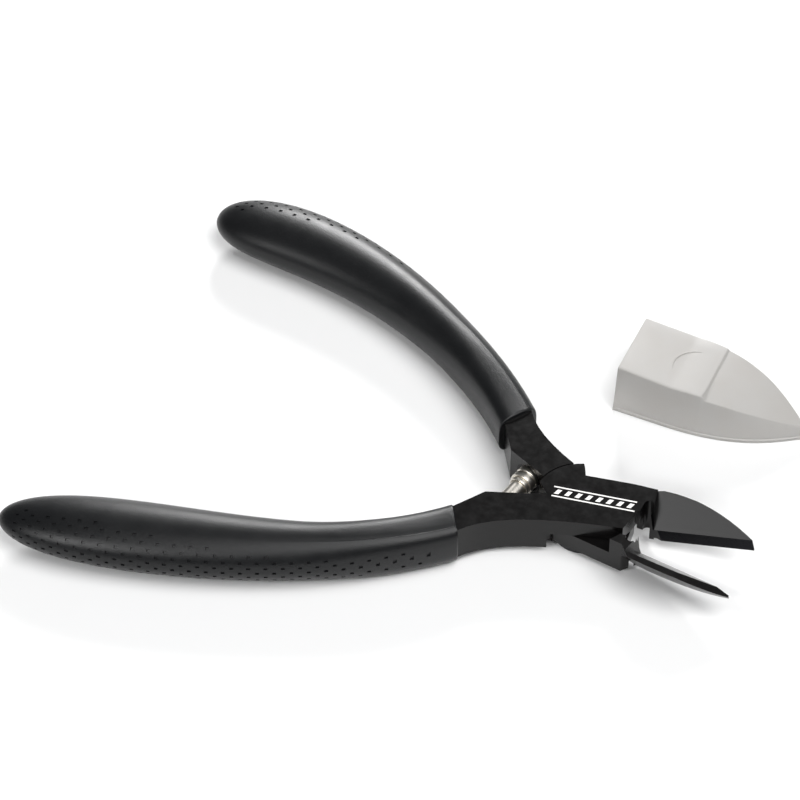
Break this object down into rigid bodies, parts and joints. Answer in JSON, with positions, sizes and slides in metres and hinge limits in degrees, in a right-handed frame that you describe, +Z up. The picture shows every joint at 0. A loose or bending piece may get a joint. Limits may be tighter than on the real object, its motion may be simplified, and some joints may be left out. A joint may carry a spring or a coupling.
{
  "type": "nail nipper",
  "caption": "Lap-jointed nail nipper with straight ground cutting jaws, curved soft grips, an opening spring barrel between the arms and a separate slip-on jaw cap.",
  "frame": {"origin": "pivot axis, on the plane that the tool lies on, which is the outer face of the pivot screw's head", "axes": "+Z up along the pivot axis, +X from the pivot to the jaws along the line that halves the open tool, +Y to the rear arm's handle side"},
  "size_m": [0.1156, 0.0893, 0.0092],
  "materials": {
    "black_steel": "satin black oxide",
    "screw_steel": "blackened",
    "grip_rubber": "matt soft touch",
    "bright_nickel": "polished nickel plate",
    "spring_wire": "drawn wire",
    "frosted_plastic": "frosted translucent"
  },
  "bodies": {
    "front_half": {"front_arm": "black_steel", "front_grip": "grip_rubber", "pivot_screw": "screw_steel", "plunger_seat": "bright_nickel"},
    "rear_half": {"rear_arm": "black_steel", "rear_grip": "grip_rubber", "spring_barrel": "bright_nickel", "barrel_collar": "bright_nickel"},
    "plunger": {"plunger": "bright_nickel", "coil_spring": "spring_wire"},
    "cap": {"tip_cap": "frosted_plastic"}
  },
  "joints": [
    {"name": "jaw_hinge", "type": "hinge", "parent": "front_half", "child": "rear_half", "pos_m": [0, 0, 0.0046], "axis": [0, 0, 1], "range_deg": [0, 22], "stiffness_Nm_per_rad": 0.2, "springref_deg": -9.74},
    {"name": "plunger_slide", "type": "slide", "parent": "rear_half", "child": "plunger", "axis": [0.1908, 0.9816, 0], "range_m": [0, 0.0052], "deforming": ["coil_spring"]},
    {"name": "cap_slide", "type": "slide", "parent": "front_half", "child": "cap", "axis": [1, 0, 0], "range_m": [0, 0.03]}
  ],
  "couplings": [
    {"joint": "plunger_slide", "follows": "jaw_hinge", "m_per_rad": 0.0135}
  ]
}
